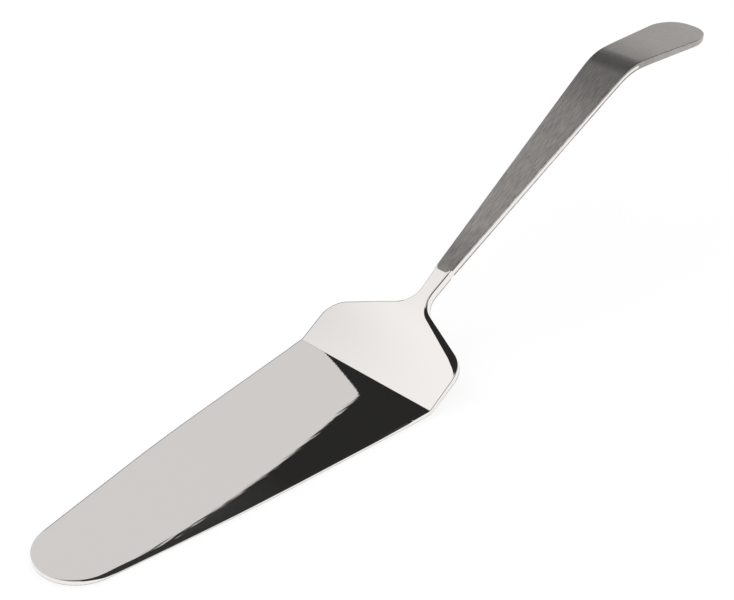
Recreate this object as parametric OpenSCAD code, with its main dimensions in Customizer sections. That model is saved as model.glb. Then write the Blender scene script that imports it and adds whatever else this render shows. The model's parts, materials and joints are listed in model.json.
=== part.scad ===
// Cake server: a polished blade with a raised shoulder, and a flat bar handle brazed on its tang.
// Millimetres. X runs from the tip to the handle, Y across the blade, Z up from the table.

/* [Blade] */
// Length of the flat blade, from the tip to the crease
blade_l = 120; // [80:1:180]
// Width of the blade at the crease
blade_w = 54; // [30:1:80]
// Thickness of the blade's sheet
blade_t = 1.5; // [0.8:0.1:2.5]
// Width of the blade where its sides bow out
bow_w = 41; // [24:1:64]
// Where that is, as a share of the blade's length from the tip
bow_share = 0.49; // [0.3:0.01:0.7]
// Radius that eases the bow
bow_r = 600; // [200:10:1200]
// Radius of the round tip
tip_r = 13.2; // [6:0.1:20]

/* [Shoulder and neck] */
// Slope of the shoulder above the blade, in degrees
shoulder_a = 30; // [15:1:45]
// Length of the shoulder's sides, up the slope from the crease
shoulder_l = 16.6; // [8:0.1:30]
// Width of the shoulder at its corners
shoulder_w = 53.4; // [30:0.2:80]
// Radius of the shoulder's corners
shoulder_r = 9; // [3:0.5:15]
// Length up the slope from the crease to the root of the neck
root_l = 28.3; // [18:0.1:45]
// Width of the neck at its root
neck_w = 4.2; // [3:0.1:12]
// Radius that leads the shoulder into the neck
neck_r = 8; // [3:0.1:15]
// Thickness of the neck
neck_t = 3.2; // [2:0.1:5]
// Length up the slope from the crease to the joint with the handle
joint_l = 41; // [34:0.5:60]

/* [Handle] */
// Length up the slope from the crease to where the grip's line starts
grip_start_l = 43.5; // [36:0.5:64]
// Slope of the grip, in degrees
grip_a = 27.5; // [15:0.5:45]
// Length of the grip, from there to the middle of the bend
grip_l = 91; // [60:1:130]
// Thickness of the bar at the bend
bend_t = 2.6; // [1.6:0.1:4]
// Radius of the bend on the upper side
bend_r = 20; // [8:1:40]
// Slope of the end behind the bend, in degrees
end_a = -4; // [-15:1:10]
// Length of the end, from the middle of the bend
end_l = 45.5; // [25:0.5:70]
// Thickness of the bar at its end
end_t = 2; // [1.2:0.1:3]
// Greatest width of the handle
handle_w = 19; // [12:0.5:30]
// Distance of that width from the end
round_l = 8.3; // [4:0.1:14]
// Width of the end where its corners meet the end's face
end_w = 11.6; // [6:0.2:18]
// Radius of the handle's sides at its greatest width
side_r = 14; // [6:0.5:20]
// Radius of the end's corners
end_r = 7.6; // [3:0.1:10]

/* [Tang and braze] */
// Length of the tang behind the joint
tang_l = 16; // [8:0.5:30]
// Width of the tang
tang_w = 3; // [1.6:0.1:6]
// Thickness of the tang
tang_t = 1.4; // [0.8:0.1:2.4]
// Thickness of the layer of braze around the tang
braze_t = 0.1; // [0.05:0.01:0.3]

/* [Hidden] */

// Steps of every rounded corner and bend
arc_steps = 20;
// Overrun of the cutting blocks
over = blade_w;
// How far the tang, its cut and its socket's cut run past the joint's face
lap = neck_t / 2;

polished_steel = [0.84, 0.84, 0.83];
satin_steel = [0.56, 0.55, 0.54];
silver_braze = [0.86, 0.83, 0.74];

// Unit vector at angle a, and the one a quarter turn on from it
function heading(a) = [cos(a), sin(a)];
function upright(a) = [-sin(a), cos(a)];

// Point b rounded by radius r between its neighbours a and c
function rounded(a, b, c, r) =
    let (
        u = (a - b) / norm(a - b),
        v = (c - b) / norm(c - b),
        half = acos(u * v) / 2,
        middle = b + (u + v) / norm(u + v) * r / sin(half),
        start = b + u * r / tan(half) - middle,
        side = sign(cross(v, u)),
        sweep = side * (180 - 2 * half),
        from = atan2(start.y, start.x)
    )
    [for (i = [0 : arc_steps]) middle + r * heading(from + sweep * i / arc_steps)];

// Point on the underside of the bar below p, where its slope turns from a to b and it is t thick
function below(p, a, b, t) = p - t / cos((b - a) / 2) * upright((a + b) / 2);

// The list v from its last item to its first
function reversed(v) = [for (i = [len(v) - 1 : -1 : 0]) v[i]];

// The upper side's line, seen from the side
tip_p = [0, blade_t];
crease_p = [blade_l, blade_t];
root_p = crease_p + root_l * heading(shoulder_a);
joint_p = crease_p + joint_l * heading(shoulder_a);
grip_p = crease_p + grip_start_l * heading(shoulder_a);
bend_p = grip_p + grip_l * heading(grip_a);
end_p = bend_p + end_l * heading(end_a);

// The underside's line
under_crease_p = below(crease_p, 0, shoulder_a, blade_t);
under_root_p = below(root_p, shoulder_a, shoulder_a, neck_t);
under_grip_p = below(grip_p, shoulder_a, grip_a, neck_t);
under_bend_p = below(bend_p, grip_a, end_a, bend_t);
under_end_p = below(end_p, end_a, end_a, end_t);

side_line = concat(
    [tip_p, crease_p, root_p, grip_p],
    rounded(grip_p, bend_p, end_p, bend_r),
    [end_p, under_end_p],
    reversed(rounded(under_grip_p, under_bend_p, under_end_p, bend_r - bend_t)),
    [under_grip_p, under_root_p, under_crease_p, [0, 0]]
);

// Half of the flat outline: lengths are taken along the bar's upper side
bar_l = grip_start_l + grip_l + end_l;
tip_edge = [tip_r, tip_r];
bow_edge = [blade_l * bow_share, bow_w / 2];
crease_edge = [blade_l, blade_w / 2];
shoulder_edge = [blade_l + shoulder_l, shoulder_w / 2];
root_edge = [blade_l + root_l, neck_w / 2];
round_edge = [blade_l + bar_l - round_l, handle_w / 2];
end_edge = [blade_l + bar_l, end_w / 2];
end_middle = [blade_l + bar_l, 0];

// Angle from the tip's middle to where its circle meets the blade's side
tip_reach = norm(bow_edge - [tip_r, 0]);
tip_a = atan2(bow_edge.y, bow_edge.x - tip_r) + acos(tip_r / tip_reach);

half_outline = concat(
    [for (i = [0 : arc_steps])
        [tip_r, 0] + tip_r * heading(180 - (180 - tip_a) * i / arc_steps)],
    rounded([tip_r, 0] + tip_r * heading(tip_a), bow_edge, crease_edge, bow_r),
    [crease_edge],
    rounded(crease_edge, shoulder_edge, root_edge, shoulder_r),
    rounded(shoulder_edge, root_edge, round_edge, neck_r),
    rounded(root_edge, round_edge, end_edge, side_r),
    rounded(round_edge, end_edge, end_middle, end_r),
    [end_middle]
);

// How far along X the length s lies on the bar's upper side
bend_half = bend_r * tan((grip_a - end_a) / 2);
bend_arc = bend_r * (grip_a - end_a) * PI / 180;
bend_s = blade_l + grip_start_l + grip_l - bend_half;
bend_x = bend_p.x - bend_half * cos(grip_a);
after_x = bend_p.x + bend_half * cos(end_a);
function along(s) =
    s <= blade_l ? s
    : s <= blade_l + grip_start_l ? blade_l + (s - blade_l) * cos(shoulder_a)
    : s <= bend_s ? grip_p.x + (s - blade_l - grip_start_l) * cos(grip_a)
    : end_p.x - (blade_l + bar_l - s) * (end_p.x - bend_x) / (blade_l + bar_l - bend_s);

outline = [for (p = half_outline) [along(p.x), p.y]];
whole_outline = concat(outline, [for (p = reversed(outline)) [p.x, -p.y]]);

// The whole bar: its flat outline and its side line in one
module bar() {
    intersection() {
        linear_extrude(2 * over) polygon(whole_outline);
        translate([0, blade_w, 0])
            rotate([90, 0, 0])
                linear_extrude(2 * blade_w) polygon(side_line);
    }
}

// Moves its children so that X runs up the slope from the joint, at mid thickness
module at_joint() {
    translate([joint_p.x, 0, joint_p.y])
        rotate([0, -shoulder_a, 0])
            translate([0, 0, -neck_t / 2])
                children();
}

// Everything behind the joint
module behind_joint() {
    at_joint() translate([0, -over, -over]) cube([4 * over, 2 * over, 2 * over]);
}

// The tang with a layer g around its sides and end, from a length f before the joint
module tang(g, f) {
    at_joint()
        translate([-f, -tang_w / 2 - g, -tang_t / 2 - g])
            cube([f + tang_l + g, tang_w + 2 * g, tang_t + 2 * g]);
}

// The part's own frame: its origin under the middle of the flat blade
module placed() {
    translate([-blade_l / 2, 0, 0]) children();
}

// Polished blade with its shoulder, neck and tang, in one piece of steel
module blade() {
    color(polished_steel)
        placed()
            union() {
                difference() {
                    bar();
                    behind_joint();
                }
                tang(0, lap);
            }
}

// Satin bar handle with a socket for the tang
module handle() {
    color(satin_steel)
        placed()
            difference() {
                intersection() {
                    bar();
                    behind_joint();
                }
                tang(braze_t, lap);
            }
}

// Braze that fills the socket around the tang
module braze() {
    color(silver_braze)
        placed()
            difference() {
                tang(braze_t, 0);
                tang(0, lap);
            }
}

blade();
handle();
braze();
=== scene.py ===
"""Cake server: a mirror polished blade with a raised shoulder, and a satin bar handle.

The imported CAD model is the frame. The blade and the handle are rebuilt here with their rolled edges, ground
facets and finishes, on the same lines as the solids. All lengths are in millimetres until they reach a mesh.
"""

from __future__ import annotations

import json
import logging
from dataclasses import astuple, dataclass, field
from enum import Enum
from functools import partial
from math import acos, atan2, ceil, copysign, cos, degrees, dist, hypot, pi, radians, sin, sqrt, tan
from typing import Callable, ClassVar

import bmesh
import bpy
from mathutils import Matrix, Vector

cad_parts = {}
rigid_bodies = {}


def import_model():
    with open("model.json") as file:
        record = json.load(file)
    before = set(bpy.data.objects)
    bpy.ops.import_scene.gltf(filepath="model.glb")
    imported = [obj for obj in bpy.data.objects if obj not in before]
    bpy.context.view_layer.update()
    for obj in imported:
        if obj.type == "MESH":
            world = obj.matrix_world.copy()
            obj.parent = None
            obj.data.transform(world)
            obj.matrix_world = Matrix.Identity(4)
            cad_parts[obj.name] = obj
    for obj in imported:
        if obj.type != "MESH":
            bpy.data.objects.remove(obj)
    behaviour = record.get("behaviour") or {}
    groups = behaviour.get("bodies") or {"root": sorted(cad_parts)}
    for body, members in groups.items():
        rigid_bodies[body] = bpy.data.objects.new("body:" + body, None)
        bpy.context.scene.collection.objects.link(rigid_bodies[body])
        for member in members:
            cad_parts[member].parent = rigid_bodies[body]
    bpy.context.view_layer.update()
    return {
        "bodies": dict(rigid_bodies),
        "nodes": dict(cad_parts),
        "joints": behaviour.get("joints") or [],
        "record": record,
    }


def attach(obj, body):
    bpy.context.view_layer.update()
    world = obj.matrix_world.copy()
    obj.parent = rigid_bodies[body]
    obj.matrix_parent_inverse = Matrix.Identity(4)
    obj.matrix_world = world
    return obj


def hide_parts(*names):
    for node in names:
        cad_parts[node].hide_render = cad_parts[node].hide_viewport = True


LOG = logging.getLogger("cake_server")

MM = 0.001
GRAIN_UV = "grain"
# Length along the bar that one unit of the grain's UV stands for
GRAIN_MM = 20.0
# How many degrees a normal leans from the upper side's
UP, SIDEWAYS, DOWN = 0.0, 90.0, 180.0
# Places that are closer than this, in metres, are one
SAME_PLACE = 1e-8
# Stations that are closer than this are one
SAME_STATION = 1e-6
# Least distance of an added station from the next one
LEAST_STEP = 0.02
# Material slots of every skin
POLISHED, BRUSHED = 0, 1

Socket = bpy.types.NodeSocket
Material = bpy.types.Material
Node = bpy.types.Node
Object = bpy.types.Object
Adder = Callable[..., Node]
Point2 = tuple[float, float]
Point3 = tuple[float, float, float]
# A station, the half width there and the outline's outward direction
Rim = tuple[float, float, Point2]
# One station's points or point numbers on the right side and on the left side, from top to bottom
Loops = tuple[list["SkinPoint"], list["SkinPoint"]]
Row = tuple[list[int], list[int]]


# Small helpers


def clamped(value: float) -> float:
    """Keeps a value between 0 and 1."""
    return min(max(value, 0.0), 1.0)


def between(start: float, end: float, share: float) -> float:
    """Gives the value that lies a share of the way from start to end."""
    return start + (end - start) * share


def smooth_step(value: float, start: float, end: float) -> float:
    """Eases from 0 at start to 1 at end."""
    share = clamped((value - start) / (end - start))
    return share * share * (3 - 2 * share)


def direction(azimuth: float, elevation: float) -> Vector:
    """Gives the unit vector at an azimuth and an elevation in degrees."""
    turn, rise = radians(azimuth), radians(elevation)
    return Vector((cos(rise) * cos(turn), cos(rise) * sin(turn), sin(rise)))


def linked(name: str, data: bpy.types.ID) -> Object:
    """Makes an object and links it to the scene.

    Args:
        name: the object's name.
        data: its mesh, lamp or camera.

    Returns:
        The object.
    """
    made = bpy.data.objects.new(name, data)
    bpy.context.scene.collection.objects.link(made)
    return made


# Colours and nodes


class Slot(Enum):
    """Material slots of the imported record."""

    POLISHED = "polished_steel"
    SATIN = "satin_steel"
    BRAZE = "silver_braze"


def linear(hex_colour: str) -> tuple[float, float, float, float]:
    """Turns an sRGB colour of six hex digits into linear red, green and blue, with an alpha of 1."""
    values = [int(hex_colour[start : start + 2], 16) / 255.0 for start in (0, 2, 4)]
    return (*(v / 12.92 if v <= 0.04045 else ((v + 0.055) / 1.055) ** 2.4 for v in values), 1.0)


def add_node(tree: bpy.types.NodeTree, kind: str, settings: dict | None = None, **inputs: object) -> Node:
    """Adds one shader node with its settings, input values and links.

    Args:
        tree: the node tree.
        kind: the node's Blender type without its first words, ShaderNode.
        settings: attributes to set on the node.
        inputs: values, source sockets, or source nodes whose first output is taken. A name's underscores
            stand for spaces, and a name such as i0 is a socket's index.

    Returns:
        The new node.
    """
    node = tree.nodes.new("ShaderNode" + kind)
    for key, value in (settings or {}).items():
        setattr(node, key, value)
    for key, value in inputs.items():
        by_index = key[0] == "i" and key[1:].isdigit()
        socket = node.inputs[int(key[1:]) if by_index else key.replace("_", " ")]
        source = value.outputs[0] if isinstance(value, Node) else value
        if isinstance(source, Socket):
            tree.links.new(source, socket)
        else:
            socket.default_value = source
    return node


def cleared(owner: Material | bpy.types.World) -> Adder:
    """Clears the nodes of a new material or world.

    Args:
        owner: the material or the world.

    Returns:
        The function that adds a node to it.
    """
    owner.use_nodes = True
    owner.node_tree.nodes.clear()
    return partial(add_node, owner.node_tree)


def new_material(name: str) -> tuple[Material, Adder]:
    """Makes a material without nodes, and gives it with the function that adds one."""
    material = bpy.data.materials.new(name)
    return material, cleared(material)


# Finishes


@dataclass(frozen=True)
class Streaks:
    """Lines along the bar: a noise of a length and a pitch, with finer layers of some strength."""

    length_mm: float
    pitch_mm: float
    detail: float
    strength: float

    def draw(self, add: Adder, place: Socket) -> Node:
        """Adds the lines' nodes.

        Args:
            add: adds a node to the material.
            place: the place on the object.

        Returns:
            The node that gives their height.
        """
        along, across = 1 / (self.length_mm * MM), 1 / (self.pitch_mm * MM)
        way = add("Mapping", Vector=place, Scale=(along, across, along))
        return add("TexNoise", Vector=way, Scale=1.0, Detail=self.detail, Roughness=self.strength)


@dataclass(frozen=True)
class PolishedSteel:
    """Austenitic stainless steel, mirror polished on a mop.

    To the eye it is a bright mirror, a little warm. The last mop leaves hair lines along the piece, which
    fray the edge of what it mirrors, and use leaves faint scratches near the tip.
    """

    name: str = "stainless_steel_mirror_polished"
    colour: str = "F0ECE9"
    roughness: float = 0.006
    # Hair lines are about 0.02 mm apart; drawn at 0.6 mm, since finer ones do not show in the render
    hair: Streaks = Streaks(6.0, 0.6, 1.0, 0.4)
    hair_depth_mm: float = 0.0005
    # Roughness that the deeper hair lines add, and the noise values between which it grows
    haze: float = 0.002
    hazed: Point2 = (0.3, 0.8)
    # Scratches of use scatter a little light: their share near the tip and elsewhere, and the places along X
    # between which it changes
    wear_and_painted_shade: float = 0.42
    unworn: float = 0.03
    wear_x_mm: Point2 = (-16.0, 10.0)
    scratch_roughness: float = 0.45

    def build(self) -> Material:
        """Builds the material.

        Returns:
            The material.
        """
        material, add = new_material(self.name)
        place = add("TexCoord").outputs["Object"]
        hair = self.hair.draw(add, place)
        bump = add("Bump", Height=hair, Strength=1.0, Distance=self.hair_depth_mm * MM)
        low, high = self.hazed
        most = self.roughness + self.haze
        rough = add("MapRange", Value=hair, From_Min=low, From_Max=high, To_Min=self.roughness, To_Max=most)
        x = add("SeparateXYZ", Vector=place)
        start, end = (edge * MM for edge in self.wear_x_mm)
        wear = add("MapRange", Value=x, From_Min=start, From_Max=end, To_Min=self.wear_and_painted_shade, To_Max=self.unworn)
        shader = add(
            "BsdfPrincipled",
            Base_Color=linear(self.colour),
            Metallic=1.0,
            Roughness=rough,
            Coat_Weight=wear,
            Coat_Roughness=self.scratch_roughness,
            Normal=bump,
        )
        add("OutputMaterial", Surface=shader)
        return material


@dataclass(frozen=True)
class SatinSteel:
    """The same steel, brushed along the bar with a fine belt.

    To the eye it is a dark silk: it mirrors nothing, lights up in bands across the bar, and shows short hair
    lines of lighter and darker grey along it.
    """

    name: str = "stainless_steel_satin_brushed"
    light: str = "E0DCD7"
    dark: str = "918D8A"
    roughness: float = 0.38
    anisotropy: float = 0.82
    # A fine belt leaves lines about 0.05 mm apart; drawn at 0.28 mm so that the grain shows
    lines: Streaks = Streaks(3.5, 0.28, 4.0, 0.7)
    line_depth_mm: float = 0.004
    # Slow clouds of light and dark under the lines
    cloud_mm: float = 12.0
    cloud_share: float = 0.08
    cloud_detail: float = 2.0
    # Noise values that are drawn dark and light, and the share of light midway
    contrast: Point2 = (0.3, 0.78)
    middle: float = 0.5
    # Painted shade along the bar: the colour is darkened behind the joint and around the bend: stations and
    # shades
    painted_shade_stops: tuple[Point2, ...] = (
        (149.0, 0.95),
        (158.0, 0.62),
        (168.0, 0.67),
        (182.0, 0.94),
        (205.0, 1.0),
        (228.0, 0.96),
        (244.0, 0.67),
        (250.0, 0.67),
        (262.0, 0.76),
        (278.0, 0.87),
        (300.0, 0.87),
    )
    # Behind the bend the belt hardly touches: the grain fades between these stations to this share
    fade_from: float = 244.0
    fade_to: float = 258.0
    faded: float = 0.35

    def build(self) -> Material:
        """Builds the material.

        Returns:
            The material.
        """
        material, add = new_material(self.name)
        place = add("TexCoord").outputs["Object"]
        lines = self.lines.draw(add, place)
        cloud = add("TexNoise", Vector=place, Scale=1 / (self.cloud_mm * MM), Detail=self.cloud_detail)
        shade = add("Math", {"operation": "MULTIPLY_ADD"}, i0=cloud, i1=self.cloud_share, i2=lines)
        low, high = self.contrast
        spread = add("MapRange", Value=shade, From_Min=low, From_Max=high)
        strength = self._by_station(add, self.fade_from, self.fade_to, 1.0, self.faded)
        shown = add("Mix", i0=strength, i2=self.middle, i3=spread)
        dark, light = linear(self.dark), linear(self.light)
        colour = add("Mix", {"data_type": "RGBA"}, i0=shown, i6=dark, i7=light)
        shaded = {"data_type": "RGBA", "blend_type": "MULTIPLY"}
        # The colour is multiplied by the painted shade along the bar
        wear_and_painted_shade = add("Mix", shaded, i0=1.0, i6=colour.outputs[2], i7=self._painted_shade(add))
        bump = add("Bump", Height=lines, Strength=strength, Distance=self.line_depth_mm * MM)
        # The grain's UV runs across the bar first, so that highlights spread across the lines
        tangent = add("Tangent", {"direction_type": "UV_MAP", "uv_map": GRAIN_UV})
        shader = add(
            "BsdfPrincipled",
            Base_Color=wear_and_painted_shade.outputs[2],
            Metallic=1.0,
            Roughness=self.roughness,
            Anisotropic=self.anisotropy,
            Normal=bump,
            Tangent=tangent,
        )
        add("OutputMaterial", Surface=shader)
        return material

    def _painted_shade(self, add: Adder) -> Node:
        """Adds the painted shade along the bar, a ramp of shades by station.

        Args:
            add: adds a node to the material.

        Returns:
            The node that gives the shade.
        """
        (start, first), (end, last) = self.painted_shade_stops[0], self.painted_shade_stops[-1]
        ramp = add("ValToRGB", Fac=self._by_station(add, start, end, 0.0, 1.0))
        ramp.color_ramp.interpolation = "EASE"
        stops = ramp.color_ramp.elements
        stops[0].color = (first, first, first, 1.0)
        stops[1].color = (last, last, last, 1.0)
        for s, shade in self.painted_shade_stops[1:-1]:
            stops.new((s - start) / (end - start)).color = (shade, shade, shade, 1.0)
        return ramp

    def _by_station(self, add: Adder, start: float, end: float, low: float, high: float) -> Node:
        """Adds a value that runs evenly between two stations and holds beyond them.

        Args:
            add: adds a node to the material.
            start: the first station.
            end: the last one.
            low: the value at the first one.
            high: the value at the last one.

        Returns:
            The node that gives it.
        """
        grain = add("UVMap", {"uv_map": GRAIN_UV})
        s = add("SeparateXYZ", Vector=grain).outputs["Y"]
        near, far = start / GRAIN_MM, end / GRAIN_MM
        return add("MapRange", Value=s, From_Min=near, From_Max=far, To_Min=low, To_Max=high)


@dataclass(frozen=True)
class SilverBraze:
    """Silver brazing alloy, as it set in the joint.

    To the eye it is pale, slightly yellow and softly mottled where flux boiled off.
    """

    name: str = "silver_braze_as_set"
    light: str = "E6DFCB"
    dark: str = "C4B795"
    roughness: float = 0.3
    mottle_mm: float = 0.8
    mottle_detail: float = 3.0

    def build(self) -> Material:
        """Builds the material.

        Returns:
            The material.
        """
        material, add = new_material(self.name)
        place = add("TexCoord").outputs["Object"]
        mottle = add("TexNoise", Vector=place, Scale=1 / (self.mottle_mm * MM), Detail=self.mottle_detail)
        dark, light = linear(self.dark), linear(self.light)
        colour = add("Mix", {"data_type": "RGBA"}, i0=mottle, i6=dark, i7=light).outputs[2]
        shader = add("BsdfPrincipled", Base_Color=colour, Metallic=1.0, Roughness=self.roughness)
        add("OutputMaterial", Surface=shader)
        return material


# The bar's lines


@dataclass(frozen=True)
class SkinPoint:
    """A point of the skin with its normal and its place in the grain."""

    place: Vector
    normal: Vector
    grain: Point2


def rounded(before: Point2, corner: Point2, after: Point2, radius: float, steps: int) -> list[Point2]:
    """Rounds one corner of a line.

    Args:
        before: the point before it.
        corner: the corner.
        after: the point after it.
        radius: the arc's radius.
        steps: the arc's straight steps.

    Returns:
        The arc's points.
    """
    here = Vector(corner)
    back = (Vector(before) - here).normalized()
    on = (Vector(after) - here).normalized()
    half = back.angle(on) / 2
    middle = here + (back + on).normalized() * radius / sin(half)
    start = here + back * radius / tan(half) - middle
    turn = copysign(pi - 2 * half, on.cross(back))
    first = atan2(start.y, start.x)
    angles = [first + turn * i / steps for i in range(steps + 1)]
    return [(middle.x + radius * cos(a), middle.y + radius * sin(a)) for a in angles]


@dataclass(frozen=True)
class BarSizes:
    """Sizes of the whole bar, as in the CAD source."""

    blade_l: float = 120.0
    blade_w: float = 54.0
    blade_t: float = 1.5
    bow_w: float = 41.0
    bow_share: float = 0.49
    bow_r: float = 600.0
    tip_r: float = 13.2
    shoulder_a: float = 30.0
    shoulder_l: float = 16.6
    shoulder_w: float = 53.4
    shoulder_r: float = 9.0
    root_l: float = 28.3
    neck_w: float = 4.2
    neck_r: float = 8.0
    neck_t: float = 3.2
    joint_l: float = 41.0
    grip_start_l: float = 43.5
    grip_a: float = 27.5
    grip_l: float = 91.0
    bend_t: float = 2.6
    bend_r: float = 20.0
    end_a: float = -4.0
    end_l: float = 45.5
    end_t: float = 2.0
    handle_w: float = 19.0
    round_l: float = 8.3
    end_w: float = 11.6
    side_r: float = 14.0
    end_r: float = 7.6
    tang_l: float = 16.0
    tang_w: float = 3.0
    tang_t: float = 1.4
    braze_t: float = 0.1


@dataclass
class BarLine:
    """The upper side's line, seen from the side, with its creases eased as they are in pressed steel.

    A station is a length along the upper side from the tip. The press also bent the last of the blade up by
    0.24 mm, ahead of its crease, which bends the mirror image there.
    """

    sizes: BarSizes
    lift_l: float = 9.4
    lift_ease: float = 2.4
    lift_a: float = 3.35
    crease_r: float = 0.2
    neck_bend_r: float = 40.0
    # A quarter of the handle's turn is spread over three times its length, as in a bar bent round a former
    bend_tail: float = 0.25
    bend_spread: float = 3.0
    # The press set the crease a little askew, this much further on at the far side. Stations from the crease
    # between which the skew grows, and between which it dies out
    askew: float = 1.9
    askew_grows: Point2 = (-40.0, -12.0)
    askew_fades: Point2 = (2.0, 28.0)
    # Half the length over which the skew's change is taken
    askew_half: float = 0.5
    # Step of the walk along the line, and steps of the two sums that it starts from
    step: float = 0.05
    lift_steps: int = 40
    bend_steps: int = 120
    places: list[Point3] = field(default_factory=list)

    def __post_init__(self) -> None:
        """Finds the stations of the line's corners, and walks the line once."""
        z = self.sizes
        count = self.lift_steps
        slopes = [radians(self.lift(self.lift_l * (i + 0.5) / count)) for i in range(count)]
        rise = sum(slopes) * self.lift_l / count
        self.crease_s = z.blade_l + rise / tan(radians(z.shoulder_a))
        self.grip_s = self.crease_s + z.grip_start_l - rise / sin(radians(z.shoulder_a))
        self.turn = radians(z.grip_a - z.end_a)
        self.bend_l = self.turn * z.bend_r
        saved = self._saved()
        self.bend_s = self.grip_s + z.grip_l - saved / 2
        self.end_s = self.bend_s + z.end_l - saved / 2
        self._walk()

    @property
    def joint_s(self) -> float:
        """Station of the joint between the blade and the handle."""
        return self.crease_s + self.sizes.joint_l

    def bent(self, away: float) -> float:
        """Gives the share of the handle's turn that is done, by the length from the bend's middle."""
        soft = smooth_step(away / self.bend_l, -self.bend_spread / 2, self.bend_spread / 2)
        return between(clamped(away / self.bend_l + 0.5), soft, self.bend_tail)

    def _saved(self) -> float:
        """Works out how much shorter the round bend is than a sharp corner.

        Returns:
            The length.
        """
        count = self.bend_steps
        length = self.bend_spread * self.bend_l
        ways = [self.turn * (self.bent(length * ((i + 0.5) / count - 0.5)) - 0.5) for i in range(count)]
        return sum(cos(way) for way in ways) * length / count / cos(self.turn / 2) - length

    def _walk(self) -> None:
        """Adds up the line's steps from the tip, and keeps X, Z and the slope at each."""
        z = self.sizes
        bends = (
            (self.crease_s, z.shoulder_a - self.lift_a, self.crease_r),
            (self.grip_s, z.grip_a - z.shoulder_a, self.neck_bend_r),
        )
        x, height = 0.0, z.blade_t
        count = round(self.end_s / self.step)
        step = self.end_s / count
        for i in range(count + 1):
            s = self.end_s * i / count
            slope = self.lift(s - self.crease_s + self.lift_l)
            for middle, angle, radius in bends:
                slope += angle * clamped((s - middle) / (abs(radians(angle)) * radius) + 0.5)
            slope -= degrees(self.turn) * self.bent(s - self.bend_s)
            self.places.append((x, height, slope))
            x += step * cos(radians(slope))
            height += step * sin(radians(slope))

    def lift(self, into: float) -> float:
        """Gives the slope that the press left in the blade.

        Args:
            into: the length into the lift.

        Returns:
            The slope in degrees.
        """
        into, ease = min(max(into, 0.0), self.lift_l), self.lift_ease
        eased = into * into / (2 * ease) if into < ease else into - ease / 2
        return self.lift_a * eased / (self.lift_l - ease / 2)

    def skew(self, s: float) -> float:
        """Gives how much further on the far end of a line across the bar lies than its near end."""
        into = s - self.crease_s
        return self.askew * smooth_step(into, *self.askew_grows) * (1 - smooth_step(into, *self.askew_fades))

    def ahead(self, s: float, y: float) -> float:
        """Gives how much further on a point of such a line lies than its near end, by its Y."""
        return self.skew(s) * clamped(y / self.sizes.blade_w + 0.5)

    def at(self, s: float) -> Point3:
        """Finds the line's place at a station.

        Args:
            s: the length along the upper side.

        Returns:
            X, Z and the slope in degrees.
        """
        share = clamped(s / self.end_s) * (len(self.places) - 1)
        low = min(int(share), len(self.places) - 2)
        x, height, slope = (between(a, b, share - low) for a, b in zip(*self.places[low : low + 2]))
        return x, height, slope

    def thickness(self, s: float) -> float:
        """Gives the bar's thickness.

        Args:
            s: the station.

        Returns:
            The thickness.
        """
        z = self.sizes
        knots = (
            (self.crease_s, z.blade_t),
            (self.crease_s + z.root_l, z.neck_t),
            (self.grip_s, z.neck_t),
            (self.bend_s, z.bend_t),
            (self.end_s, z.end_t),
        )
        if s <= self.crease_s:
            return z.blade_t
        for (s0, t0), (s1, t1) in zip(knots, knots[1:]):
            if s <= s1:
                return t0 + (t1 - t0) * (s - s0) / (s1 - s0)
        return z.end_t

    def skin(self, s: float, y: float, depth: float, tilt: float, outward: Point2) -> SkinPoint:
        """Places a point of the skin.

        Args:
            s: the length along the upper side.
            y: the distance from the middle plane.
            depth: the distance below the upper side.
            tilt: degrees from the upper side's normal towards outward.
            outward: the outline's outward direction, along the bar and across it.

        Returns:
            The point in the row frame, in metres, with its normal and grain.
        """
        z = self.sizes
        _, height, slope = self.at(s)
        x = self.at(s + self.ahead(s, y))[0]
        turn = radians(slope)
        run, rise = cos(turn), sin(turn)
        stretch = 1 + self.ahead(s + self.askew_half, y) - self.ahead(s - self.askew_half, y)
        forward = Vector((run * stretch, 0.0, rise)).normalized()
        across = Vector((self.skew(s) / z.blade_w * run, 1.0, 0.0)).normalized()
        upward = forward.cross(across).normalized()
        place = Vector((x - z.blade_l / 2, y, height)) + Vector((rise, 0.0, -run)) * depth
        out = forward * outward[0] + Vector((0.0, outward[1], 0.0))
        lean = radians(tilt)
        normal = upward * cos(lean) + out * sin(lean)
        return SkinPoint(place * MM, normal, (y + copysign(depth, y), s))


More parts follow.
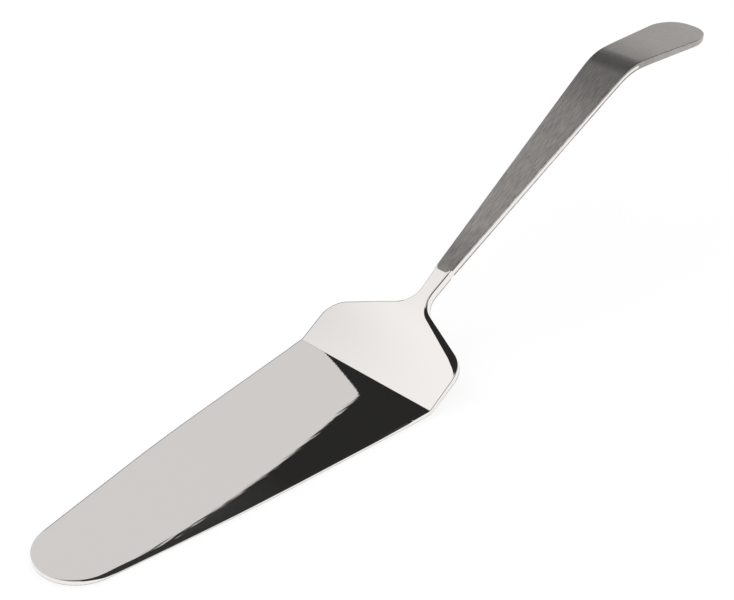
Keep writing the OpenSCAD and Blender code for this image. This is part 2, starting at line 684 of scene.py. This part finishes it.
@dataclass
class Outline:
    """Half of the bar's flat outline: stations with half widths and outward directions."""

    line: BarLine
    arc_steps: int = 26
    # Radius of the outline's corner at the crease, and its steps
    crease_r: float = 13.2
    crease_steps: int = 8
    straight_step: float = 2.5
    # Step before the crease and round the bend, which is also how far their stretches reach beyond them
    close: float = 0.5
    crease_step: float = 0.05
    neck_reach: float = 2.0
    neck_step: float = 0.4

    def points(self) -> list[Point2]:
        """Gives the outline from the tip to the end's corner.

        Returns:
            Stations and half widths.
        """
        z, line = self.line.sizes, self.line
        bow = (z.blade_l * z.bow_share, z.bow_w / 2)
        tip_a = atan2(bow[1], bow[0] - z.tip_r)
        tip_a += acos(z.tip_r / hypot(bow[0] - z.tip_r, bow[1]))
        count = 2 * self.arc_steps
        angles = [pi - (pi - tip_a) * i / count for i in range(count + 1)]
        found = [(z.tip_r + z.tip_r * cos(a), z.tip_r * sin(a)) for a in angles]
        corners = (
            (bow, z.bow_r, self.arc_steps),
            ((line.crease_s, z.blade_w / 2), self.crease_r, self.crease_steps),
            ((line.crease_s + z.shoulder_l, z.shoulder_w / 2), z.shoulder_r, self.arc_steps),
            ((line.crease_s + z.root_l, z.neck_w / 2), z.neck_r, self.arc_steps),
            ((line.end_s - z.round_l, z.handle_w / 2), z.side_r, self.arc_steps),
            ((line.end_s, z.end_w / 2), z.end_r, self.arc_steps),
        )
        path = [found[-1]] + [corner for corner, _, _ in corners] + [(line.end_s, 0.0)]
        for i, (corner, radius, steps) in enumerate(corners):
            found += rounded(path[i], corner, path[i + 2], radius, steps)
        return self._filled(found)

    def _filled(self, points: list[Point2]) -> list[Point2]:
        """Adds points on long stretches, and close ones where the bar bends.

        Args:
            points: the outline's points.

        Returns:
            The points with the added ones.
        """
        line = self.line
        bend_reach = line.bend_l * line.bend_spread / 2 + self.close
        stretches = (
            (line.crease_s - line.lift_l, line.crease_s - self.close, self.close),
            (line.crease_s - self.close, line.crease_s + self.close, self.crease_step),
            (line.grip_s - self.neck_reach, line.grip_s + self.neck_reach, self.neck_step),
            (line.bend_s - bend_reach, line.bend_s + bend_reach, self.close),
        )
        wanted = {line.joint_s}
        for low, high, step in stretches:
            count = ceil((high - low) / step)
            wanted.update(low + (high - low) * i / count for i in range(count + 1))
        filled = [points[0]]
        for a, b in zip(points, points[1:]):
            gap = b[0] - a[0]
            if dist(a, b) < SAME_STATION:
                continue
            inside = [s for s in wanted if a[0] + LEAST_STEP < s < b[0] - LEAST_STEP]
            count = ceil(gap / self.straight_step) if gap > self.straight_step else 1
            for s in sorted(inside + [a[0] + gap * i / count for i in range(1, count)]):
                if s - filled[-1][0] > LEAST_STEP:
                    filled.append((s, a[1] + (b[1] - a[1]) * (s - a[0]) / gap))
            filled.append(b)
        return filled

    def rims(self, low: float, high: float) -> list[Rim]:
        """Gives one piece's stretch of the outline.

        Args:
            low: the first station.
            high: the last station.

        Returns:
            A station, a half width and the outward direction for each point.
        """
        points = self.points()
        rows = []
        for i, (s, y) in enumerate(points):
            a, b = points[max(i - 1, 0)], points[min(i + 1, len(points) - 1)]
            along = Vector((b[0] - a[0], b[1] - a[1])).normalized()
            outward = (-along.y, along.x) if i > 0 else (-1.0, 0.0)
            if low - SAME_STATION <= s <= high + SAME_STATION:
                rows.append((s, y, outward))
        return rows


def rim_at(rims: list[Rim], s: float) -> tuple[float, Point2]:
    """Gives the outline's half width and outward direction between its listed stations.

    Args:
        rims: a stretch of the outline.
        s: the station.

    Returns:
        The half width and the direction.
    """
    after = min(max(sum(rim[0] < s for rim in rims), 1), len(rims) - 1)
    (s0, y0, out0), (s1, y1, out1) = rims[after - 1], rims[after]
    part = (s - s0) / (s1 - s0)
    outward = (Vector(out0) * (1 - part) + Vector(out1) * part).normalized()
    return between(y0, y1, part), (outward.x, outward.y)


# Edges and skins


# The side wall's band in an edge's section, counted from the broad upper face
WALL_BAND = 11
# The lower edge's skirt and half its roll, which take the satin finish as a painted shade line along the
# wall's foot
PAINTED_SHADE_BANDS = range(WALL_BAND + 1, WALL_BAND + 4)


@dataclass(frozen=True)
class EdgePoint:
    """One point of an edge's section: how far in from the outline, how far down, and how the normal leans."""

    inset: float
    depth: float
    tilt: float


@dataclass(frozen=True)
class EdgeForm:
    """Form of an edge: an eased start, a flat ground facet, a roll, and the side wall's first strip.

    Widths are measured in from the outline. A facet of no width and no lean leaves an even rolled edge. The
    skirt is the height of the wall's first strip, which may have the broad face's finish.
    """

    ease: float = 0.0
    facet: float = 0.0
    lean: float = 0.0
    roll: float = 0.2
    skirt: float = 0.0
    # Most that the eased start leans, and the steps of it and of the roll
    ease_lean: ClassVar[float] = 20.0
    ease_steps: ClassVar[int] = 3
    roll_steps: ClassVar[int] = 4

    def section(self) -> list[EdgePoint]:
        """Works out the edge's section.

        Returns:
            Its points from the broad face down to the side wall.
        """
        inset, depth = self.ease + self.facet + self.roll, 0.0
        found = [EdgePoint(inset, depth, UP)]
        most = min(self.ease_lean, self.lean)
        step = self.ease / self.ease_steps
        for i in range(self.ease_steps):
            inset -= step
            depth += step * tan(radians(most * (i + 0.5) / self.ease_steps))
            found.append(EdgePoint(inset, depth, most * (i + 1) / self.ease_steps))
        lean = radians(self.lean)
        found.append(EdgePoint(inset, depth, self.lean))
        depth += self.facet * tan(lean)
        found.append(EdgePoint(self.roll, depth, self.lean))
        radius = self.roll / (1 - sin(lean))
        for i in range(1, self.roll_steps + 1):
            turn = lean + (pi / 2 - lean) * i / self.roll_steps
            drop = radius * (cos(lean) - cos(turn))
            found.append(EdgePoint(radius * (1 - sin(turn)), depth + drop, degrees(turn)))
        found.append(EdgePoint(0.0, found[-1].depth + self.skirt, SIDEWAYS))
        return found

    def mixed(self, other: EdgeForm, share: float) -> EdgeForm:
        """Gives the form that lies a share of the way to another one."""
        return EdgeForm(*(between(a, b, share) for a, b in zip(astuple(self), astuple(other))))


@dataclass
class Skin:
    """A mesh made of loops around the bar, with exact normals and the grain's UV."""

    name: str
    vertices: list[SkinPoint] = field(default_factory=list)
    faces: list[tuple[int, ...]] = field(default_factory=list)
    flat: list[bool] = field(default_factory=list)
    slots: list[int] = field(default_factory=list)

    def add(self, points: list[SkinPoint]) -> list[int]:
        """Adds points and gives their numbers."""
        self.vertices += points
        return list(range(len(self.vertices) - len(points), len(self.vertices)))

    def key(self, corner: int) -> tuple[int, ...]:
        """Gives a key that points at one place share."""
        return tuple(round(c / SAME_PLACE) for c in self.vertices[corner].place)

    def face(self, corners: list[int], slot: int = POLISHED, flat: bool = False) -> None:
        """Adds one face, without the corners that coincide with an earlier one.

        Args:
            corners: the numbers of its points.
            slot: its material slot.
            flat: whether it has its own normal instead of the points' ones.
        """
        kept: dict[tuple[int, ...], int] = {}
        for corner in corners:
            kept.setdefault(self.key(corner), corner)
        if len(kept) > 2:
            self.faces.append(tuple(kept.values()))
            self.flat.append(flat)
            self.slots.append(slot)

    def build(self, materials: list[Material]) -> Object:
        """Makes the Blender object.

        Args:
            materials: the materials, in the order of the faces' slots.

        Returns:
            The object, linked to the scene.
        """
        kept: dict[tuple[int, ...], int] = {}
        numbers, places = [], []
        for corner, point in enumerate(self.vertices):
            number = kept.setdefault(self.key(corner), len(places))
            numbers.append(number)
            if number == len(places):
                places.append(point.place)
        mesh = bpy.data.meshes.new(self.name)
        mesh.from_pydata(places, [], [[numbers[c] for c in face] for face in self.faces])
        mesh.validate()
        grain = mesh.uv_layers.new(name=GRAIN_UV)
        normals = []
        for polygon, face, flat, slot in zip(mesh.polygons, self.faces, self.flat, self.slots):
            polygon.use_smooth = True
            polygon.material_index = slot
            for loop, corner in zip(polygon.loop_indices, face):
                point = self.vertices[corner]
                grain.data[loop].uv = (point.grain[0] / GRAIN_MM, point.grain[1] / GRAIN_MM)
                normals.append(polygon.normal.copy() if flat else point.normal)
        mesh.normals_split_custom_set(normals)
        for material in materials:
            mesh.materials.append(material)
        return linked(self.name, mesh)


@dataclass
class BarPiece:
    """What the blade and the handle share: a stretch of the bar, skinned with its edges."""

    line: BarLine
    upper: EdgeForm = EdgeForm()
    under: EdgeForm = EdgeForm()

    def upper_edge(self, s: float, outward: Point2, side: float) -> EdgeForm:
        """Gives the upper edge's form at a station, on the near side (-1) or the far side (1)."""
        return self.upper

    def under_edge(self, s: float) -> EdgeForm:
        """Gives the lower edge's form at a station."""
        return self.under

    def edge_slot(self, band: int, s: float) -> int:
        """Gives the material slot of one band of the edge, counted from the broad upper face."""
        raise NotImplementedError

    def broad_slot(self, row: int) -> int:
        """Gives the material slot of the broad upper and lower faces behind a row of points."""
        return POLISHED

    def loops(self, rims: list[Rim], inner: float) -> list[Loops]:
        """Lays the skin's loops on both sides of the middle plane.

        Args:
            rims: the outline's stretch.
            inner: the width of the polished rim inside the edge, on the upper and lower sides.

        Returns:
            The points of both sides for each station.
        """
        found = []
        for s, half, outward in rims:
            thick = self.line.thickness(s)
            lower = self.under_edge(s).section()
            far = (half, outward)
            if self.line.skew(s) > 0:
                far = rim_at(rims, s + self.line.ahead(s, half))
            sides = []
            for side, (width, way) in ((-1.0, (half, outward)), (1.0, far)):
                upper = self.upper_edge(s, way, side).section()
                section = [EdgePoint(upper[0].inset + inner, 0.0, UP)] + upper
                section += [EdgePoint(p.inset, thick - p.depth, DOWN - p.tilt) for p in reversed(lower)]
                section.append(EdgePoint(lower[0].inset + inner, thick, DOWN))
                points = []
                for p in section:
                    station = s - way[0] * p.inset
                    across = max(width - way[1] * p.inset, 0.0) if width > 0 else 0.0
                    out = (way[0], way[1] * side)
                    points.append(self.line.skin(station, across * side, p.depth, p.tilt, out))
                sides.append(points)
            found.append((sides[0], sides[1]))
        return found

    def wrap(self, skin: Skin, loops: list[Loops]) -> list[Row]:
        """Joins the loops with faces.

        Args:
            skin: the mesh that takes the faces.
            loops: the points of both sides for each station.

        Returns:
            The point numbers of both sides for each station.
        """
        rows = [(skin.add(right), skin.add(left)) for right, left in loops]
        for row, ((r0, l0), (r1, l1)) in enumerate(zip(rows, rows[1:])):
            for k in range(len(r0) - 1):
                slot = self.edge_slot(k, skin.vertices[r0[k]].grain[1])
                skin.face([r0[k], r0[k + 1], r1[k + 1], r1[k]], slot)
                skin.face([l0[k], l1[k], l1[k + 1], l0[k + 1]], slot)
            skin.face([r0[0], r1[0], l1[0], l0[0]], self.broad_slot(row))
            skin.face([r0[-1], l0[-1], l1[-1], r1[-1]], self.broad_slot(row))
        return rows

    def joint_box(self, gap: float) -> tuple[list[Vector], list[Vector], Vector]:
        """Places the tang's box.

        Args:
            gap: the layer around the tang.

        Returns:
            The box's corners at the joint, those at the tang's end, and the direction up the bar.
        """
        z, s = self.line.sizes, self.line.joint_s
        x, height, slope = self.line.at(s)
        turn = radians(slope)
        forward = Vector((cos(turn), 0.0, sin(turn)))
        upward = Vector((-sin(turn), 0.0, cos(turn)))
        middle = Vector((x - z.blade_l / 2, 0.0, height)) - upward * self.line.thickness(s) / 2
        half_w, half_t = z.tang_w / 2 + gap, z.tang_t / 2 + gap
        near = []
        for across, rise in ((-1, -1), (1, -1), (1, 1), (-1, 1)):
            near.append(middle + Vector((0.0, across * half_w, 0.0)) + upward * rise * half_t)
        return near, [p + forward * (z.tang_l + gap) for p in near], forward

    def cap_joint(self, skin: Skin, loop: list[int], gap: float, facing: float) -> None:
        """Closes the joint's face around the tang or its socket, and adds the box itself.

        Args:
            skin: the mesh that takes the faces.
            loop: the point numbers around the joint's face, in order.
            gap: the layer around the tang.
            facing: 1 for the blade, whose face looks up the bar, and -1 for the handle.
        """
        near, far, forward = self.joint_box(gap)
        normal = forward * facing
        box = skin.add([SkinPoint(p * MM, normal, (p.y, 0.0)) for p in near])
        tip = skin.add([SkinPoint(p * MM, normal, (p.y, 1.0)) for p in far])
        apart = list({skin.key(corner): corner for corner in loop}.values())
        work = bmesh.new()
        outer = [work.verts.new(skin.vertices[i].place / MM) for i in apart]
        inner = [work.verts.new(p) for p in near]
        numbers = dict(zip(outer + inner, apart + box))
        rings = (outer, inner)
        edges = [work.edges.new(ends) for ring in rings for ends in zip(ring, ring[1:] + ring[:1])]
        bmesh.ops.triangle_fill(work, use_beauty=True, use_dissolve=False, edges=edges, normal=normal)
        for face in work.faces:
            face.normal_update()
            corners = [numbers[v] for v in face.verts]
            skin.face(corners if face.normal.dot(normal) >= 0 else corners[::-1], flat=True)
        work.free()
        walls = zip(box, box[1:] + box[:1], tip[1:] + tip[:1], tip)
        for corners in [*walls, tip]:
            skin.face(list(corners if facing > 0 else corners[::-1]), flat=True)


@dataclass
class Blade(BarPiece):
    """Polished blade with its shoulder, neck and tang, in one piece of steel."""

    # The far side is a plain roll at the tip. Between two stations it turns into an eased edge, with a narrow
    # facet that shows as a fine grey line
    upper: EdgeForm = EdgeForm(roll=0.22)
    eased: EdgeForm = EdgeForm(0.05, 0.3, 15.0, 0.1)
    easing: Point2 = (2.0, 14.0)
    # The near side is ground to a cutting edge, deepest beside the tip: stations and forms
    ground: tuple[tuple[float, EdgeForm], ...] = (
        (0.0, EdgeForm(roll=0.22)),
        (3.0, EdgeForm(0.3, 0.05, 60.0, 0.05)),
        (6.5, EdgeForm(0.4, 0.1, 60.0, 0.05)),
        (10.0, EdgeForm(0.35, 0.35, 62.0, 0.04)),
        (14.0, EdgeForm(0.3, 0.53, 62.0, 0.03)),
        (30.0, EdgeForm(0.3, 0.53, 62.0, 0.03)),
        (40.0, EdgeForm(0.15, 0.5, 62.0, 0.03)),
        (50.0, EdgeForm(0.1, 0.45, 62.0, 0.03)),
        (62.0, EdgeForm(0.05, 0.4, 60.0, 0.03)),
        (100.0, EdgeForm(0.05, 0.4, 60.0, 0.03)),
        (112.0, EdgeForm(0.05, 0.25, 60.0, 0.05)),
        (118.0, EdgeForm(roll=0.2)),
    )
    shoulder_side: EdgeForm = EdgeForm(0.0, 0.0, 13.0, 0.2)
    shoulder_corner: EdgeForm = EdgeForm(0.05, 2.3, 13.0, 0.1)
    shoulder_root: EdgeForm = EdgeForm(0.05, 1.3, 13.0, 0.1)
    far_side: EdgeForm = EdgeForm(0.05, 0.35, 27.0, 0.08)
    far_back: EdgeForm = EdgeForm(0.05, 0.4, 34.0, 0.08)
    neck: EdgeForm = EdgeForm(roll=0.6)
    # How far the outline faces up the bar where the shoulder's edge has its back's full form
    full_back: float = 0.85
    # The shoulder's edge turns into the neck's over this length on both sides of the neck's root
    neck_blend: float = 3.0
    # The lower edge below the blade, and below the neck; its skirt is part of the painted shade line
    under: EdgeForm = EdgeForm(roll=0.2, skirt=0.08)
    neck_under: EdgeForm = EdgeForm(roll=0.25, skirt=0.3)

    def upper_edge(self, s: float, outward: Point2, side: float) -> EdgeForm:
        """Gives the upper edge: cutting or eased beside the blade, with shallow facets behind it.

        Args:
            s: the station.
            outward: the outline's outward direction.
            side: -1 for the near side, 1 for the far one.

        Returns:
            The edge's form.
        """
        z, up = self.line.sizes, s - self.line.crease_s
        if up < 0 and side < 0:
            return self._cutting_edge(s)
        if up < 0:
            return self.upper.mixed(self.eased, smooth_step(s, *self.easing))
        behind = smooth_step(outward[0], 0.0, self.full_back)
        rising = smooth_step(up, z.shoulder_l, z.root_l)
        back = self.shoulder_corner.mixed(self.shoulder_root, rising) if side < 0 else self.far_back
        necked = smooth_step(up, z.root_l - self.neck_blend, z.root_l + self.neck_blend)
        front = self.shoulder_side if side < 0 else self.far_side
        return front.mixed(back, behind).mixed(self.neck, necked)

    def under_edge(self, s: float) -> EdgeForm:
        """Gives a plain roll below the blade, and a fuller one below the neck."""
        up = smooth_step(s - self.line.crease_s, 0.0, self.line.sizes.shoulder_l)
        return self.under.mixed(self.neck_under, up)

    def edge_slot(self, band: int, s: float) -> int:
        """Gives the lower edge's bands the satin finish, as a painted shade line along the wall's foot."""
        return BRUSHED if band in PAINTED_SHADE_BANDS else POLISHED

    def _cutting_edge(self, s: float) -> EdgeForm:
        """Gives the ground edge's form.

        Args:
            s: the station, on the flat blade.

        Returns:
            The form.
        """
        for (s0, low), (s1, high) in zip(self.ground, self.ground[1:]):
            if s <= s1:
                return low.mixed(high, (s - s0) / (s1 - s0))
        return self.ground[-1][1]

    def build(self, steel: Material, satin: Material) -> Object:
        """Builds the blade.

        Args:
            steel: the polished finish.
            satin: the satin finish, on the lower edge as a painted shade line.

        Returns:
            The blade, which stands for its CAD node.
        """
        skin = Skin("blade_polished")
        rows = self.wrap(skin, self.loops(Outline(self.line).rims(0.0, self.line.joint_s), 0.0))
        right, left = rows[-1]
        self.cap_joint(skin, right + left[::-1], 0.0, 1.0)
        blade = skin.build([steel, satin])
        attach(blade, "root")
        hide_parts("blade")
        return blade


@dataclass
class Handle(BarPiece):
    """Bar handle: brushed broad faces inside a polished rim and polished edges."""

    # Even rolls all round, with a strip of the side wall that keeps the belt's grain; the lower strip is also
    # a painted shade line
    upper: EdgeForm = EdgeForm(roll=0.3, skirt=0.6)
    under: EdgeForm = EdgeForm(roll=0.3, skirt=0.5)
    # Width of the polished rim, radius of the brushed face's first corners, and their steps
    rim: float = 0.12
    corner: float = 1.1
    corner_steps: int = 8
    # Length behind the bend's middle from where the brush reached over the whole side
    brushed_from: float = 3.0

    @property
    def brush_s(self) -> float:
        """Station where the brushed face starts."""
        return self.line.joint_s + self.rim

    def edge_slot(self, band: int, s: float) -> int:
        """Brushes the upper roll, the lower edge's bands as a painted shade line, and behind the bend the
        whole side.
        """
        brushed = band < WALL_BAND or band in PAINTED_SHADE_BANDS or s > self.line.bend_s + self.brushed_from
        return BRUSHED if brushed and s > self.brush_s + self.corner else POLISHED

    def broad_slot(self, row: int) -> int:
        """Brushes the broad faces behind a polished strip at the joint."""
        return BRUSHED if row > 0 else POLISHED

    def build(self, steel: Material, satin: Material) -> Object:
        """Builds the handle.

        Args:
            steel: the polished finish of its edges.
            satin: the brushed finish of its broad faces.

        Returns:
            The handle, which stands for its CAD node.
        """
        line = self.line
        rims = self._with_corner_stations(Outline(line).rims(line.joint_s, line.end_s))
        loops = self.loops(rims, self.rim)
        for (s, _, _), sides in zip(rims, loops):
            self._round_brush(s, sides)
        skin = Skin("handle_satin")
        rows = self.wrap(skin, loops)
        right, left = rows[-1]
        for k in range(len(right) - 1):
            skin.face([right[k], right[k + 1], left[k + 1], left[k]], self.edge_slot(k, line.end_s))
        right, left = rows[0]
        self.cap_joint(skin, right + left[::-1], line.sizes.braze_t, -1.0)
        handle = skin.build([steel, satin])
        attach(handle, "root")
        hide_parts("handle")
        return handle

    def _with_corner_stations(self, rims: list[Rim]) -> list[Rim]:
        """Adds close stations behind the joint, where the brushed face has rounded corners.

        Args:
            rims: the handle's stretch of the outline.

        Returns:
            The stretch with the added stations.
        """
        (s0, y0, outward), (s1, y1, _) = rims[:2]
        turns = [pi / 2 * i / self.corner_steps for i in range(1, self.corner_steps + 1)]
        added = [self.brush_s + self.corner * (1 - cos(turn)) for turn in turns]
        close = [self.brush_s] + [s for s in added if s < s1 - LEAST_STEP]
        slope = (y1 - y0) / (s1 - s0)
        return [rims[0]] + [(s, y0 + slope * (s - s0), outward) for s in close] + rims[1:]

    def _round_brush(self, s: float, sides: Loops) -> None:
        """Draws the brushed face's first corners in, so that they are round.

        Args:
            s: the station.
            sides: the points of both sides there, which are changed.
        """
        into = clamped((s - self.brush_s) / self.corner)
        cut = self.corner * (1 - sqrt(1 - (1 - into) ** 2))
        for side, points in zip((-1.0, 1.0), sides):
            for k in (0, -1):
                old = points[k]
                moved = old.place - Vector((0.0, side * cut * MM, 0.0))
                points[k] = SkinPoint(moved, old.normal, (old.grain[0] - side * cut, old.grain[1]))


@dataclass(frozen=True)
class BrazeLayer:
    """Braze around the tang: the CAD solid as it is, with its finish."""

    node: str = "braze"

    def build(self, frame: dict, braze: Material) -> Object:
        """Gives the CAD node its finish.

        Args:
            braze: the finish.

        Returns:
            The CAD node's object.
        """
        layer = frame["nodes"][self.node]
        layer.data.materials.clear()
        layer.data.materials.append(braze)
        return layer


# Studio and camera


@dataclass(frozen=True)
class StudioPatch:
    """A round patch of the studio as polished steel sees it, such as a soft box or a dark flag.

    Angles are in degrees. The edge is half the width of its soft rim. A later patch lies over earlier ones.
    """

    azimuth: float
    elevation: float
    radius: float
    edge: float
    tone: float


@dataclass
class Studio:
    """White floor under an even white dome. What shines sees a cloth tent instead of the dome."""

    floor_half: float = 3.0
    # Just clear of the blade's underside, so that the two faces never coincide
    floor_drop_mm: float = 0.05
    floor_tone: str = "FFFFFF"
    level: float = 1.0
    # Share of the floor's white that the camera sees whatever the object's shadow; the steel sees all of it
    floor_glow: float = 0.75
    # Size and place in metres, and power in watts, of the lamp that gives the floor's shadow a side
    lamp_size: float = 0.7
    lamp_power: float = 0.8
    lamp_place: Point3 = (-0.15, 0.55, 0.85)
    lamp_aim: Point3 = (0.08, 0.0, 0.0)
    tent_tone: float = 0.71
    patches: tuple[StudioPatch, ...] = (
        # Back wall with two soft boxes, and the lit side wall
        StudioPatch(98.0, 48.0, 22.0, 6.0, 0.779),
        StudioPatch(111.5, 63.6, 11.0, 6.0, 1.055),
        StudioPatch(88.0, 58.0, 4.0, 7.0, 1.255),
        StudioPatch(25.0, 12.0, 16.0, 8.0, 1.082),
        # Dark room behind the camera
        StudioPatch(-35.0, 58.0, 18.0, 2.0, 0.026),
        StudioPatch(-84.0, 27.0, 28.0, 4.0, 0.026),
        StudioPatch(-24.0, 24.0, 12.0, 4.0, 0.026),
        StudioPatch(-118.0, 20.0, 15.0, 4.0, 0.026),
        # Dark open top
        StudioPatch(62.0, 62.0, 15.0, 10.0, 0.087),
        StudioPatch(70.0, 66.0, 12.0, 1.5, 0.026),
        StudioPatch(88.0, 78.0, 8.0, 3.0, 0.026),
        # Dark flag, the cloth in front of its foot with two gaps at the floor, and a lit panel
        StudioPatch(25.0, 55.0, 26.5, 1.0, 0.022),
        StudioPatch(63.84, 11.33, 30.4, 0.03, 0.71),
        StudioPatch(62.0, 8.0, 12.0, 3.0, 0.216),
        StudioPatch(80.0, 4.0, 10.0, 3.0, 0.13),
        StudioPatch(74.0, 46.0, 10.0, 3.0, 0.883),
    )

    def build(self) -> None:
        """Builds the floor, the dome and the lamp."""
        self._floor()
        self._dome()
        self._lamp()

    def _floor(self) -> None:
        """Lays the floor, which is stage."""
        mesh = bpy.data.meshes.new("studio_floor")
        half, low = self.floor_half, -self.floor_drop_mm * MM
        corners = [(-half, -half, low), (half, -half, low), (half, half, low), (-half, half, low)]
        mesh.from_pydata(corners, [], [(0, 1, 2, 3)])
        floor = linked("studio_floor", mesh)
        material, add = new_material("studio_paper_matt")
        paper = add("BsdfDiffuse", Color=linear(self.floor_tone))
        white = add("Emission", Color=linear(self.floor_tone), Strength=1.0)
        path = add("LightPath").outputs
        seen = add("Math", {"operation": "MULTIPLY"}, i0=path["Is Camera Ray"], i1=self.floor_glow)
        share = add("Math", {"operation": "MAXIMUM"}, i0=seen, i1=path["Is Glossy Ray"])
        add("OutputMaterial", Surface=add("MixShader", i0=share, i1=paper, i2=white))
        mesh.materials.append(material)

    def _dome(self) -> None:
        """Sets the world: even for the camera and for matt things, a studio for what shines."""
        world = bpy.data.worlds.new("studio_dome")
        bpy.context.scene.world = world
        add = cleared(world)
        way = add("TexCoord").outputs["Generated"]
        dot, soft = {"operation": "DOT_PRODUCT"}, {"interpolation_type": "SMOOTHSTEP"}
        tone: float | Node = self.tent_tone
        for patch in self.patches:
            centre = direction(patch.azimuth, patch.elevation)
            near = add("VectorMath", dot, i0=way, i1=centre).outputs["Value"]
            start = cos(radians(patch.radius + patch.edge))
            end = cos(radians(max(patch.radius - patch.edge, 0.0)))
            mask = add("MapRange", soft, Value=near, From_Min=start, From_Max=end)
            tone = add("Mix", i0=mask, i2=tone, i3=patch.tone)
        shine = add("LightPath").outputs["Is Glossy Ray"]
        seen = add("Mix", i0=shine, i2=self.level, i3=tone)
        background = add("Background", Color=(1, 1, 1, 1), Strength=seen)
        add("OutputWorld", Surface=background)

    def _lamp(self) -> None:
        """Hangs one large soft lamp, which what shines does not see."""
        data = bpy.data.lights.new("studio_soft_lamp", "AREA")
        data.shape = "DISK"
        data.size = self.lamp_size
        data.energy = self.lamp_power
        lamp = linked("studio_soft_lamp", data)
        lamp.location = self.lamp_place
        lamp.rotation_euler = (Vector(self.lamp_aim) - lamp.location).to_track_quat("-Z", "Y").to_euler()
        lamp.visible_glossy = False


@dataclass(frozen=True)
class PhotoCamera:
    """Camera at the photograph's angle."""

    aim_mm: Point3 = (80.0, 0.0, 15.0)
    azimuth: float = -138.69
    elevation: float = 32.55
    roll: float = 0.77
    distance_mm: float = 544.65
    lens_mm: float = 88.82
    sensor_mm: float = 36.0
    shift: Point2 = (-0.0534, 0.0158)
    clip_start_mm: float = 10.0

    def build(self) -> None:
        """Builds the camera and makes it the scene's."""
        back = direction(self.azimuth, self.elevation)
        level = direction(self.azimuth + 90.0, 0.0)
        roll = radians(self.roll)
        right = level * cos(roll) + back.cross(level) * sin(roll)
        data = bpy.data.cameras.new("photo_camera")
        data.lens = self.lens_mm
        data.sensor_width = self.sensor_mm
        data.shift_x, data.shift_y = self.shift
        data.clip_start = self.clip_start_mm * MM
        camera = linked("photo_camera", data)
        turned = Matrix((right, back.cross(right), back)).transposed().to_4x4()
        place = Vector(self.aim_mm) * MM + back * self.distance_mm * MM
        camera.matrix_world = Matrix.Translation(place) @ turned
        bpy.context.scene.camera = camera


# The whole


def main() -> None:
    """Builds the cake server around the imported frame, with its studio and camera."""
    logging.basicConfig(level=logging.INFO, format="%(name)s: %(message)s")
    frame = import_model()
    bpy.context.scene.view_settings.view_transform = "Standard"
    PhotoCamera().build()
    Studio().build()
    polished = PolishedSteel().build()
    satin = SatinSteel().build()
    line = BarLine(BarSizes())
    pieces = [
        Blade(line).build(polished, satin),
        Handle(line).build(polished, satin),
        BrazeLayer().build(frame, SilverBraze().build()),
    ]
    for piece in pieces:
        LOG.info("%s: %d faces", piece.name, len(piece.data.polygons))


if __name__ == "__main__":
    main()
